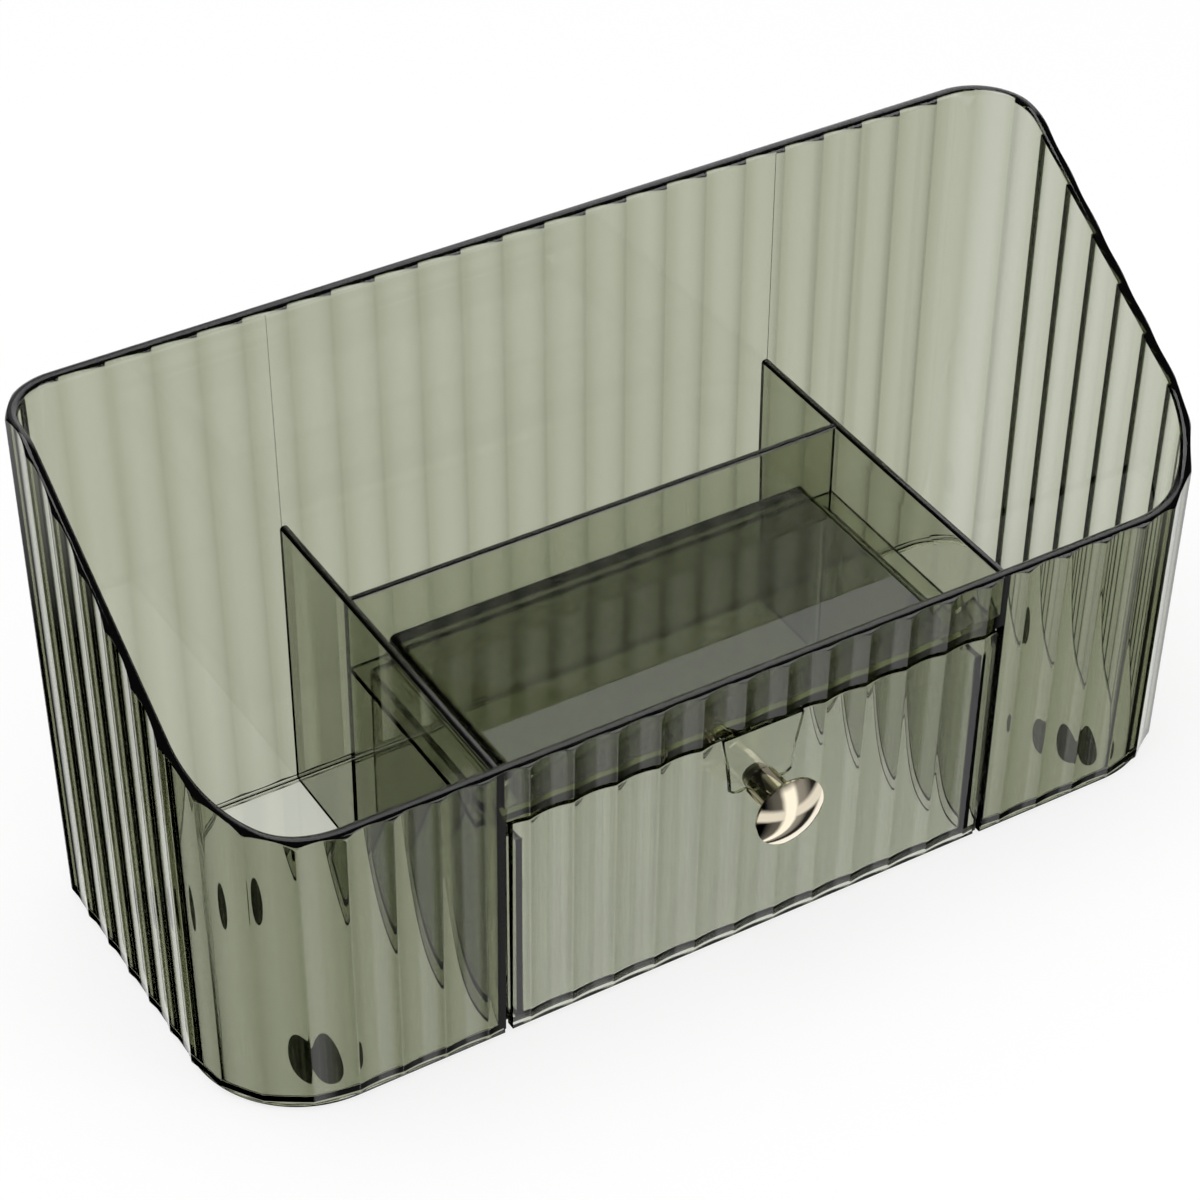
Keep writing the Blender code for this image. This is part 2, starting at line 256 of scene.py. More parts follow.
def outlineLength():
    corners = caseSettings["frontCorner"] + caseSettings["backCorner"]
    straight = 2 * caseSettings["width"] + 2 * caseSettings["depth"] - 4 * corners
    return straight + math.pi * corners


def fluteColumns():
    pitch = outlineLength() / fluteSettings["count"]
    soft = fluteSettings["ridgeRound"]
    columns = []
    for flute in range(fluteSettings["count"]):
        for share in fluteSettings["shares"]:
            x, y, nx, ny = outlinePoint((flute + share - 0.5) * pitch)
            across = share * (1 - share) * pitch  # distance from the nearer ridge, nearly
            eased = math.sqrt(across * across + soft * soft) - soft
            dip = 4 * fluteSettings["depth"] * eased / pitch
            columns.append((x, y, nx, ny, dip))
    return columns


columns = fluteColumns()


def leaned(x, y, z):
    lean = caseSettings["draft"] * (z - fluteSettings["start"])
    return (
        x * (1 + 2 * lean / caseSettings["width"]),
        y * (1 + 2 * lean / caseSettings["depth"]),
        z,
    )


def wallAt(nx, ny):
    return caseSettings["sideWall"] * nx * nx + caseSettings["wall"] * ny * ny


def ringAt(inset, z, fluted=False, leaning=True, walls=0):
    ring = []
    for x, y, nx, ny, dip in columns:
        inwards = inset + (dip if fluted else 0) + walls * wallAt(nx, ny)
        place = (x - nx * inwards, y - ny * inwards, z)
        ring.append(leaned(*place) if leaning else place)
    return ring


def rimHeight(y):
    start, end = caseSettings["slopeFrontY"], caseSettings["slopeBackY"]
    rise = caseSettings["backHeight"] - caseSettings["frontHeight"]
    ease = caseSettings["slopeEase"]

    def area(at):
        along = min(max(at - start, 0), end - start)
        return along * along / 2 / (end - start) + max(at - end, 0)

    return caseSettings["frontHeight"] + rise * (area(y + ease) - area(y - ease)) / (2 * ease)


# The rim is level across the wall; each ring gives its inset and its drop for every column

def ringUnderRim(shape):
    ring = []
    for x, y, nx, ny, dip in columns:
        wall = wallAt(nx, ny)
        inset, drop = shape(wall, dip)
        z = rimHeight(y)
        for again in range(3):  # the lean moves the point, and so its height on the slope
            z = rimHeight(leaned(x - nx * wall / 2, y - ny * wall / 2, z)[1])
        place = leaned(x - nx * inset, y - ny * inset, z)
        ring.append((place[0], place[1], z - drop))
    return ring


def quarter(segments):
    return [math.pi / 2 * step / segments for step in range(segments + 1)]


# The flutes cut into the rim's outer round, so its lower edge rises in an arc on every flute

def outerRound(share):
    def shape(wall, dip):
        radius = caseSettings["rimShare"] * wall
        soft = min(caseSettings["scallopSoft"], dip)
        if dip < radius:
            angle = (math.asin((radius - dip) / radius) - soft / radius) * share
            return radius * (1 - math.sin(angle)), radius * (1 - math.cos(angle))
        return dip + soft * (2 - share), 0

    return shape


def underScallop(wall, dip):
    radius = caseSettings["rimShare"] * wall
    drop = 0
    if dip < radius:
        drop = radius - math.sqrt(radius * radius - (radius - dip) ** 2)
    return dip, drop + caseSettings["scallopSoft"]


def caseSkin():
    fillet = caseSettings["floorFillet"]  # from the inner wall down to the floor
    floorTop = caseSettings["floorTop"]
    inner = caseSettings["innerShare"]
    bandInset = caseSettings["bandInset"]
    foot = caseSettings["foot"]
    chamfer = caseSettings["footChamfer"]
    start = fluteSettings["start"]
    rings = []
    for angle in quarter(3):  # floor up into the inner wall
        inset = fillet * (1 - math.sin(angle))
        rings.append(ringAt(inset, floorTop + fillet * (1 - math.cos(angle)), walls=1))
    for angle in quarter(6):  # inner edge of the rim
        side, drop = inner * (1 - math.cos(angle)), inner * (1 - math.sin(angle))
        rings.append(ringUnderRim(lambda wall, dip: (wall * (1 - side), wall * drop)))
    for step in range(caseSettings["rimSegments"] + 1):
        rings.append(ringUnderRim(outerRound(step / caseSettings["rimSegments"])))
    rings.append(ringUnderRim(underScallop))
    rings.append(ringAt(0, start, fluted=True))
    rings.append(ringAt(bandInset, start - chamfer, leaning=False))
    rings.append(ringAt(bandInset, foot + chamfer, leaning=False))
    rings.append(ringAt(bandInset + chamfer, foot, leaning=False))
    rings.append(ringAt(0, foot, leaning=False, walls=1))
    rings.append(ringAt(0, caseSettings["floorUnder"], leaning=False, walls=1))
    return skinOfRings("smokeCase", rings)


# Fronts and backs that end inside a wall are set a little apart, so that no two share a plane

def innerWalls():
    apart = tiny
    x, thick = caseSettings["dividerX"], caseSettings["divider"]
    reach = caseSettings["depth"] / 2 - caseSettings["wall"] / 2
    low = (caseSettings["floorTop"] + caseSettings["floorUnder"]) / 2
    top = caseSettings["dividerTop"]
    soft = caseSettings["edgeRound"]
    front = caseSettings["crossFrontY"]
    shelf = caseSettings["shelf"]
    ledgeTop, platformTop = caseSettings["ledgeTop"], caseSettings["platformTop"]
    half = caseSettings["platformHalfWidth"]

    def alongTop(z):
        return lambda middle, way: abs(way.x) + abs(way.y) > 0 and abs(middle.z - z) < tiny / 10

    walls = block(
        "innerWalls", (-x - thick / 2, -reach, low), (-x + thick / 2, reach, top),
        soft, alongTop(top),
    )
    right = block(
        "dividerRight", (x - thick / 2, -reach, low), (x + thick / 2, reach, top),
        soft, alongTop(top),
    )
    crossTop = top - caseSettings["crossDrop"]
    cross = block(
        "crossWall", (-x, front, low), (x, front + caseSettings["crossWall"], crossTop),
        soft, alongTop(crossTop),
    )
    ledges = block(
        "ledges", (-x, -reach + 2 * apart, ledgeTop - shelf), (x, front + 10 * apart, ledgeTop),
    )
    platform = block(
        "platform", (-half, -reach + apart, ledgeTop - shelf - caseSettings["platformUnder"]),
        (half, front + 8 * apart, platformTop),
        caseSettings["platformRound"],
        lambda middle, way: abs(way.y) > tiny and middle.z > ledgeTop,
        segments=5,
    )
    lintel = block(
        "lintel",
        (-x, -reach + 3 * apart, caseSettings["openingTop"] - caseSettings["lintelUnder"]),
        (
            x, -caseSettings["depth"] / 2 + caseSettings["wall"] + caseSettings["lintelDepth"],
            caseSettings["lintelTop"],
        ),
    )
    joinWith(ledges, platform, "UNION")
    relief = block(
        "relief", (-x - thick, -caseSettings["depth"], low),
        (
            x + thick, caseSettings["reliefBackY"],
            caseSettings["openingTop"] - caseSettings["reliefUnder"],
        ),
    )
    joinWith(ledges, relief, "DIFFERENCE")
    joinWith(ledges, lintel, "UNION")
    joinWith(walls, right, "UNION")
    joinWith(walls, cross, "UNION")
    joinWith(walls, ledges, "UNION")
    return walls


def inPlace(piece):
    piece.location = (0, middleY, 0)
    makeActive(piece)
    bpy.ops.object.transform_apply(location=True, rotation=True, scale=True)


# A fine line on the back wall over each divider, where the mould's parts met

def witnessLine(side):
    wide, deep = caseSettings["witness"]
    x, y = side * caseSettings["dividerX"], caseSettings["depth"] / 2 - caseSettings["wall"]
    rings = []
    for z in (caseSettings["dividerTop"], caseSettings["backHeight"] + 0.01):
        corners = [(-wide / 2, -deep), (wide / 2, -deep), (wide / 2, deep), (-wide / 2, deep)]
        rings.append([leaned(x + across, y + along, z) for across, along in corners])
    return skinOfRings("witnessLine", rings)


smokeCase = caseSkin()
for side in (-1, 1):
    joinWith(smokeCase, witnessLine(side), "DIFFERENCE")
joinWith(smokeCase, innerWalls(), "UNION")
opening = block(
    "drawerOpening",
    (-caseSettings["openingHalfWidth"], -caseSettings["depth"], -caseSettings["foot"]),
    (caseSettings["openingHalfWidth"], caseSettings["openingBackY"], caseSettings["openingTop"]),
    caseSettings["openingRound"],
    lambda middle, way: abs(way.y) > tiny and middle.z > 0,
)
joinWith(smokeCase, opening, "DIFFERENCE")
smoothed(smokeCase)
inPlace(smokeCase)
print("case made", len(smokeCase.data.polygons))


# Drawer: the fluted front, its lip and its tray in one moulding

drawerSettings = {
    "faceHalfWidth": 0.0684,
    "faceTop": 0.0686,
    "faceBottom": 0.0008,
    "faceInnerY": -0.0514,
    "lipInset": 0.0003,
    "lipTop": 0.0045,
    "lipRound": 0.0002,
    "faceOverlap": 0.002,
    "topRound": 0.0003,
    "topEaseShare": 0.3,
    "bodyHalfWidth": 0.0663,
    "bodyTop": 0.061,
    "bodyBottom": 0.0031,
    "bodyBackY": 0.0169,
    "wall": 0.0018,
    "floor": 0.001,
    "cornerRound": 0.003,
    "insideTop": 0.07,
    "floorRound": 0.0006,
    "screwHole": 0.0022,
    "screwHoleReach": (-0.07, -0.04),
    "stemGap": 0.00015,
    "shieldInset": 0.00005,
    "groove": 0.0003,
    "grooveDepth": 0.001,
    "shield": (  # its right half, from the top down
        (0.0113, 0.0685), (0.011, 0.0663), (0.0096, 0.06), (0.0089, 0.054), (0.0087, 0.0515),
        (0.0075, 0.0506),
    ),
    "shieldFoot": 0.052,  # corners under this height also grow downwards for the groove
    "shieldReach": (0.045, 0.075),
}
knobSettings = {
    "height": 0.0509,
    "diameter": 0.019,
    "projection": 0.0154,
    "rim": 0.0009,
    "dome": 0.003,
    "flare": 0.0012,
    "stem": 0.009,
    "steps": 96,
    "domeSteps": 16,
    "edgeRound": 0.00035,
    "bore": 0.0022,
    "boreDepth": 0.0073,
    "seatRound": 0.0002,
}
screwSettings = {
    "head": 0.007,
    "headHeight": 0.002,
    "headRim": (0.35, 0.3),  # flat share of the radius, straight share of the height
    "shank": 0.0038,
    "shankChamfer": 0.0004,
    "slot": 0.0011,
    "slotLength": 0.0042,
    "slotShare": 0.35,
    "steps": 48,
}


def drawerFront():
    top = drawerSettings["faceTop"]
    soft = drawerSettings["topRound"]
    ease = soft * drawerSettings["topEaseShare"]
    rings = [
        ringAt(0, fluteSettings["start"], fluted=True),
        ringAt(0, top - soft, fluted=True),
        ringAt(ease, top - ease, fluted=True),
        ringAt(soft, top, fluted=True),
    ]
    return skinOfRings("smokeDrawer", rings)


smokeDrawer = drawerFront()
half = drawerSettings["faceHalfWidth"]
face = block(
    "drawerFace", (-half, -caseSettings["depth"], 0),
    (half, drawerSettings["faceInnerY"], caseSettings["backHeight"]),
)
joinWith(smokeDrawer, face, "INTERSECT")
lipHalf = half - drawerSettings["lipInset"]
lip = block(
    "drawerLip",
    (-lipHalf, caseSettings["bandInset"] - caseSettings["depth"] / 2, drawerSettings["faceBottom"]),
    (lipHalf, drawerSettings["faceInnerY"] - drawerSettings["lipInset"], drawerSettings["lipTop"]),
    drawerSettings["lipRound"],
    lambda middle, way: abs(way.x) > tiny and middle.z < drawerSettings["lipTop"] / 2,
)
joinWith(smokeDrawer, lip, "UNION")
bodyHalf = drawerSettings["bodyHalfWidth"]
tray = block(
    "drawerTray",
    (
        -bodyHalf, drawerSettings["faceInnerY"] - drawerSettings["faceOverlap"],
        drawerSettings["bodyBottom"],
    ),
    (bodyHalf, drawerSettings["bodyBackY"], drawerSettings["bodyTop"]),
    drawerSettings["cornerRound"],
    lambda middle, way: abs(way.z) > tiny and middle.y > 0,
    segments=5,
)
joinWith(smokeDrawer, tray, "UNION")
innerHalf = bodyHalf - drawerSettings["wall"]
innerBottom = drawerSettings["bodyBottom"] + drawerSettings["floor"]
inside = block(
    "drawerInside",
    (-innerHalf, drawerSettings["faceInnerY"], innerBottom),
    (innerHalf, drawerSettings["bodyBackY"] - drawerSettings["wall"], drawerSettings["insideTop"]),
    drawerSettings["floorRound"],
    lambda middle, way: middle.z < drawerSettings["bodyTop"],
)
joinWith(smokeDrawer, inside, "DIFFERENCE")


# A cylinder along the knob's axis, to cut a hole

def drill(radius, fromY, toY, sides):
    deselectAll()
    bpy.ops.mesh.primitive_cylinder_add(
        vertices=sides,
        radius=radius,
        depth=toY - fromY,
        location=(0, (fromY + toY) / 2, knobSettings["height"]),
        rotation=(math.pi / 2, 0, 0),
    )
    return bpy.context.active_object


# A flat shield fills the flutes from the top edge down to the knob, with a fine groove round it

def shieldPrism(name, grow, farY):
    foot = drawerSettings["shieldFoot"]
    right = [(x + grow, z - grow * (z < foot)) for x, z in drawerSettings["shield"]]
    corners = right + [(-x, z) for x, z in reversed(right)]
    near = [(x, -caseSettings["depth"], z) for x, z in corners]
    return skinOfRings(name, [near, [(x, farY, z) for x, y, z in near]])


def shieldPad():
    shield = shieldPrism("shield", 0, drawerSettings["faceInnerY"] - drawerSettings["faceOverlap"])
    inset = drawerSettings["shieldInset"]
    plate = skinOfRings("shieldPlate", [ringAt(inset, z) for z in drawerSettings["shieldReach"]])
    joinWith(shield, plate, "INTERSECT")
    hole = drill(
        knobSettings["stem"] / 2 + drawerSettings["stemGap"],
        -caseSettings["depth"], knobSeatY + tiny, knobSettings["steps"],
    )
    joinWith(shield, hole, "DIFFERENCE")
    return shield


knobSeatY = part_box("knob")[1].y - middleY
groove = drawerSettings["grooveDepth"] - caseSettings["depth"] / 2
joinWith(smokeDrawer, shieldPrism("groove", drawerSettings["groove"], groove), "DIFFERENCE")
joinWith(smokeDrawer, shieldPad(), "UNION")
screwHole = drill(
    drawerSettings["screwHole"], *drawerSettings["screwHoleReach"], screwSettings["steps"],
)
joinWith(smokeDrawer, screwHole, "DIFFERENCE")
smoothed(smokeDrawer)
inPlace(smokeDrawer)
print("drawer made", len(smokeDrawer.data.polygons))


# Knob and screw: rings round an axis along Y

def ringsRound(name, profile, baseY, height, steps):
    rings = []
    for radius, along in profile:
        ring = []
        for step in range(steps):
            turn = 2 * math.pi * step / steps
            ring.append((radius * math.cos(turn), baseY - along, height + radius * math.sin(turn)))
        rings.append(ring)
    return skinOfRings(name, rings)


def knobProfile():
    stem = knobSettings["stem"] / 2
    edge = knobSettings["diameter"] / 2
    tip = knobSettings["projection"]
    dome = knobSettings["dome"]
    rimTop = tip - dome
    rimBack = rimTop - knobSettings["rim"]
    flare = knobSettings["flare"]
    soft = knobSettings["edgeRound"]
    bore, seat = knobSettings["bore"], knobSettings["seatRound"]
    profile = [(bore, knobSettings["boreDepth"]), (bore, seat), (bore + seat, 0)]
    profile += [(stem - seat, 0), (stem, seat)]
    for angle in quarter(6):
        side, along = 1 - math.cos(angle), 1 - math.sin(angle)
        profile.append((stem + flare * side, rimBack - flare * along))
    for angle in quarter(4):
        side, along = 1 - math.sin(angle), 1 - math.cos(angle)
        profile.append((edge - soft * side, rimBack + soft * along))
    for angle in quarter(knobSettings["domeSteps"])[:-1]:
        profile.append((edge * math.cos(angle), rimTop + dome * math.sin(angle) ** 2))
    profile.append((edge * 0.02, tip))  # a tiny flat in the middle closes the dome
    return profile


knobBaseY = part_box("knob")[1].y
goldKnob = ringsRound(
    "goldKnob", knobProfile(), knobBaseY, knobSettings["height"], knobSettings["steps"]
)
smoothed(goldKnob, 40)


def screwHeadProfile():
    head, high = screwSettings["head"] / 2, screwSettings["headHeight"]
    shank, chamfer = screwSettings["shank"] / 2, screwSettings["shankChamfer"]
    flat, straight = screwSettings["headRim"]
    low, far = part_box("knob_screw")
    headY = far.y - high
    tip = headY - low.y
    profile = [(tiny, tip), (shank - chamfer, tip), (shank, tip - chamfer), (shank, 0)]
    profile += [(head - tiny, 0), (head, -tiny)]
    for angle in quarter(6):
        radius = head * (flat + (1 - flat) * math.cos(angle))
        profile.append((radius, -high * (straight + (1 - straight) * math.sin(angle))))
    profile.append((tiny, -high))
    return profile, headY


profile, headY = screwHeadProfile()
steelScrew = ringsRound(
    "steelScrew", profile, headY, knobSettings["height"], screwSettings["steps"]
)
for turned in (0, math.pi / 2):
    reach, wide, high = (screwSettings[part] for part in ("slotLength", "slot", "headHeight"))
    slot = block(
        "screwSlot",
        (-reach / 2, headY + high * screwSettings["slotShare"], -wide / 2),
        (reach / 2, headY + 2 * high, wide / 2),
    )
    slot.rotation_euler = (0, turned, 0)
    slot.location = (0, 0, knobSettings["height"])
    joinWith(steelScrew, slot, "DIFFERENCE")
smoothed(steelScrew, 35)
print("knob and screw made")


# Pads: soft ovals under the floor

padSettings = {"edge": 0.0003, "easeShare": 0.3, "steps": 64}


def rubberPad(node):
    low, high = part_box(node)
    middle = (low + high) / 2
    half = (high - low) / 2
    edge = padSettings["edge"]
    ease = edge * padSettings["easeShare"]
    rings = []
    profile = [(half.x - tiny, low.z), (edge, low.z), (ease, low.z + ease), (0, low.z + edge)]
    profile += [(0, high.z - edge), (ease, high.z - ease), (edge, high.z), (half.x - tiny, high.z)]
    for inset, z in profile:
        ring = []
        for step in range(padSettings["steps"]):
            turn = 2 * math.pi * step / padSettings["steps"]
            x, y = (half.x - inset) * math.cos(turn), (half.y - inset) * math.sin(turn)
            ring.append((middle.x + x, middle.y + y, z))
        rings.append(ring)
    pad = skinOfRings("rubber" + "".join(word.capitalize() for word in node.split("_")), rings)
    smoothed(pad, 40)
    return pad


pads = {
    node: rubberPad(node)
    for node in ("pad_front_left", "pad_front_right", "pad_back_left", "pad_back_right")
}
print("pads made")


# Materials

def newGroup(name, inputs, outputs):
    group = bpy.data.node_groups.new(name, "ShaderNodeTree")
    for label, kind, value in inputs:
        socket = group.interface.new_socket(label, in_out="INPUT", socket_type=kind)
        socket.default_value = value
    for label, kind in outputs:
        group.interface.new_socket(label, in_out="OUTPUT", socket_type=kind)
    return group, group.nodes.new("NodeGroupInput"), group.nodes.new("NodeGroupOutput")


def surfaceGroup():
    group, given, out = newGroup(
        "handledSurface",
        [
            ("Colour A", "NodeSocketColor", (1, 1, 1, 1)),
            ("Colour B", "NodeSocketColor", (1, 1, 1, 1)),
            ("Roughness Low", "NodeSocketFloat", 0.02),
            ("Roughness High", "NodeSocketFloat", 0.05),
            ("Cloud Scale", "NodeSocketFloat", 20.0),
            ("Fine Scale", "NodeSocketFloat", 300.0),
            ("Relief", "NodeSocketFloat", 0.0),
        ],
        [
            ("Colour", "NodeSocketColor"),
            ("Roughness", "NodeSocketFloat"),
            ("Normal", "NodeSocketVector"),
        ],
    )
    nodes, links = group.nodes, group.links
    place = nodes.new("ShaderNodeTexCoord")
    cloud = nodes.new("ShaderNodeTexNoise")
    cloud.inputs["Detail"].default_value = 3
    fine = nodes.new("ShaderNodeTexNoise")
    fine.inputs["Detail"].default_value = 2
    colour = nodes.new("ShaderNodeMix")
    colour.data_type = "RGBA"
    rough = nodes.new("ShaderNodeMapRange")
    bump = nodes.new("ShaderNodeBump")
    bump.inputs["Distance"].default_value = 0.001
    links.new(place.outputs["Object"], cloud.inputs["Vector"])
    links.new(place.outputs["Object"], fine.inputs["Vector"])
    links.new(given.outputs["Cloud Scale"], cloud.inputs["Scale"])
    links.new(given.outputs["Fine Scale"], fine.inputs["Scale"])
    links.new(cloud.outputs["Fac"], colour.inputs["Factor"])
    links.new(given.outputs["Colour A"], colour.inputs[6])
    links.new(given.outputs["Colour B"], colour.inputs[7])
    links.new(fine.outputs["Fac"], rough.inputs["Value"])
    links.new(given.outputs["Roughness Low"], rough.inputs["To Min"])
    links.new(given.outputs["Roughness High"], rough.inputs["To Max"])
    links.new(fine.outputs["Fac"], bump.inputs["Height"])
    links.new(given.outputs["Relief"], bump.inputs["Strength"])
    links.new(colour.outputs[2], out.inputs["Colour"])
    links.new(rough.outputs["Result"], out.inputs["Roughness"])
    links.new(bump.outputs["Normal"], out.inputs["Normal"])
    return group


handledSurface = surfaceGroup()


def newMaterial(name, given, relief=True):
    material = bpy.data.materials.new(name)
    material.use_nodes = True
    nodes, links = material.node_tree.nodes, material.node_tree.links
    shader = nodes["Principled BSDF"]
    group = nodes.new("ShaderNodeGroup")
    group.node_tree = handledSurface
    for label, value in given.items():
        group.inputs[label].default_value = value
    links.new(group.outputs["Colour"], shader.inputs["Base Color"])
    links.new(group.outputs["Roughness"], shader.inputs["Roughness"])
    if relief:
        links.new(group.outputs["Normal"], shader.inputs["Normal"])
    return material, shader


def clearPlastic(name, settings):
    material, shader = newMaterial(name, settings["surface"], relief=False)
    nodes, links = material.node_tree.nodes, material.node_tree.links
    shader.inputs["Transmission Weight"].default_value = 1
    shader.inputs["IOR"].default_value = settings["ior"]
    output = nodes["Material Output"]
    tint = nodes.new("ShaderNodeVolumeAbsorption")
    tint.inputs["Color"].default_value = settings["colour"]
    tint.inputs["Density"].default_value = settings["density"]
    links.new(tint.outputs["Volume"], output.inputs["Volume"])
    letThrough = nodes.new("ShaderNodeBsdfTransparent")  # lamp light passes with one wall's tint
    letThrough.inputs["Color"].default_value = settings["shadowTint"]
    path = nodes.new("ShaderNodeLightPath")
    mix = nodes.new("ShaderNodeMixShader")
    links.new(path.outputs["Is Shadow Ray"], mix.inputs["Fac"])
    links.new(shader.outputs["BSDF"], mix.inputs[1])
    links.new(letThrough.outputs["BSDF"], mix.inputs[2])
    links.new(mix.outputs["Shader"], output.inputs["Surface"])
    return material


plasticSettings = {
    "ior": 1.55,
    "colour": (0.51, 0.535, 0.38, 1),
    "density": 390,
    "shadowTint": (0.75, 0.77, 0.68, 1),
    "surface": {
        "Colour A": (1, 1, 1, 1),
        "Colour B": (0.97, 0.98, 0.96, 1),
        "Roughness Low": 0.0,
        "Roughness High": 0.03,
        "Cloud Scale": 30,
        "Fine Scale": 120,
    },
}
smokePlastic = clearPlastic("smokePlastic", plasticSettings)
smokeDrawerPlastic = clearPlastic("smokeDrawerPlastic", dict(plasticSettings, density=135))

goldPlate, shader = newMaterial(
    "paleGoldPlate",
    {
        "Colour A": (0.96, 0.87, 0.69, 1),
        "Colour B": (0.92, 0.82, 0.63, 1),
        "Roughness Low": 0.03,
        "Roughness High": 0.1,
        "Cloud Scale": 120,
        "Fine Scale": 900,
        "Relief": 0.005,
    },
)
shader.inputs["Metallic"].default_value = 1

screwZinc, shader = newMaterial(
    "screwZinc",
    {
        "Colour A": (0.62, 0.62, 0.6, 1),
        "Colour B": (0.5, 0.5, 0.48, 1),
        "Roughness Low": 0.22,
        "Roughness High": 0.42,
        "Cloud Scale": 400,
        "Fine Scale": 1500,
        "Relief": 0.05,
    },
)
shader.inputs["Metallic"].default_value = 1

padRubber, shader = newMaterial(
    "padRubber",
    {
        "Colour A": (0.02, 0.02, 0.02, 1),
        "Colour B": (0.035, 0.035, 0.035, 1),
        "Roughness Low": 0.65,
        "Roughness High": 0.85,
        "Cloud Scale": 200,
        "Fine Scale": 2500,
        "Relief": 0.3,
    },
)

dressed = [
    (smokeCase, "case", "case", "smoke_case", smokePlastic),
    (smokeDrawer, "drawer", "drawer", "smoke_drawer", smokeDrawerPlastic),
    (goldKnob, "drawer", "knob", "pale_gold", goldPlate),
    (steelScrew, "drawer", "knob_screw", "screw_steel", screwZinc),
]
for node, pad in pads.items():
    dressed.append((pad, "case", node, "pad_rubber", padRubber))
for piece, body, node, slot, material in dressed:
    piece.data.materials.clear()
    piece.data.materials.append(material)
    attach(piece, body)
    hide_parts(node)
print("materials on")


# Floor, world, lamps and camera

def backgroundRay(nodes, links):
    path = nodes.new("ShaderNodeLightPath")
    first = nodes.new("ShaderNodeMath")
    first.operation = "MAXIMUM"
    second = nodes.new("ShaderNodeMath")
    second.operation = "MAXIMUM"
    links.new(path.outputs["Is Camera Ray"], first.inputs[0])
    links.new(path.outputs["Is Glossy Ray"], first.inputs[1])
    links.new(first.outputs[0], second.inputs[0])
    links.new(path.outputs["Is Transmission Ray"], second.inputs[1])
    return second.outputs[0]


# Paths with a reflection in them: these meet the studio around the table, which has dark sides

def reflectedRay(nodes, links):
    path = nodes.new("ShaderNodeLightPath")
    reflected = nodes.new("ShaderNodeMath")
    reflected.operation = "GREATER_THAN"
    reflected.inputs[1].default_value = 0.5
    links.new(path.outputs["Glossy Depth"], reflected.inputs[0])
    return reflected.outputs[0]


floorSettings = {"size": 8, "colour": (0.96, 0.96, 0.96, 1)}
floorSettings["white"] = 0.75  # share of plain white in the table, as the camera sees it


def makeFloor():
    deselectAll()
    bpy.ops.mesh.primitive_plane_add(size=floorSettings["size"])
    floor = bpy.context.active_object
    floor.name = "paleFloor"
    material = bpy.data.materials.new("paleFloor")
    material.use_nodes = True
    nodes, links = material.node_tree.nodes, material.node_tree.links
    nodes.remove(nodes["Principled BSDF"])
    diffuse = nodes.new("ShaderNodeBsdfDiffuse")
    diffuse.inputs["Color"].default_value = floorSettings["colour"]
    white = nodes.new("ShaderNodeEmission")
    white.inputs["Color"].default_value = (1, 1, 1, 1)
    share = nodes.new("ShaderNodeMath")
    share.operation = "MULTIPLY"
    share.inputs[1].default_value = floorSettings["white"]
    links.new(backgroundRay(nodes, links), share.inputs[0])
    mix = nodes.new("ShaderNodeMixShader")
    links.new(share.outputs[0], mix.inputs["Fac"])
    links.new(diffuse.outputs[0], mix.inputs[1])
    links.new(white.outputs[0], mix.inputs[2])
    passing = nodes.new("ShaderNodeBsdfTransparent")
    around = nodes.new("ShaderNodeMixShader")
    links.new(reflectedRay(nodes, links), around.inputs["Fac"])
    links.new(mix.outputs[0], around.inputs[1])
    links.new(passing.outputs[0], around.inputs[2])
    links.new(around.outputs[0], nodes["Material Output"].inputs["Surface"])
    floor.data.materials.append(material)
    return floor


makeFloor()

# The rings give the studio's level by compass angle, clockwise from the back, under and over the
# table; the strip gives it by height, from -1 straight down to 1 straight up, and the lighter holds
worldSettings = {
    "seen": 1.0,  # the white background
    "light": 0.7,  # what lights the table
    "blend": (0.12, 0.3),  # heights between which the low ring gives way to the high one
    "lowRing": (
        (-180, 0.12), (-172, 0.1), (-160, 0.0), (-23, 0.0), (-17, 1), (95, 1), (105, 0.02),
        (122, 0.02), (136, 0.25), (148, 0.3), (154, 1.1), (170, 1.1), (178, 0.12), (180, 0.12),
    ),
    "highRing": (
        (-180, 0.05), (-20, 0.05), (5, 0.45), (22, 0.5), (30, 1.5), (60, 1.5), (90, 0.05),
        (180, 0.05),
    ),
    "strip": ((-1, 0), (-0.63, 0), (-0.56, 0.8), (-0.36, 0.8), (-0.22, 0), (1, 0)),
}


# A ramp over places from -half to half

def levelRing(nodes, links, turn, stops, half=180):
    ring = nodes.new("ShaderNodeValToRGB")
    elements = ring.color_ramp.elements
    while len(elements) < len(stops):
        elements.new(0.5)
    for element, (angle, level) in zip(elements, stops):
        element.position = (angle + half) / (2 * half)
    for element, (angle, level) in zip(elements, stops):
        element.color = (level, level, level, 1)
    links.new(turn, ring.inputs["Fac"])
    return ring.outputs["Color"]


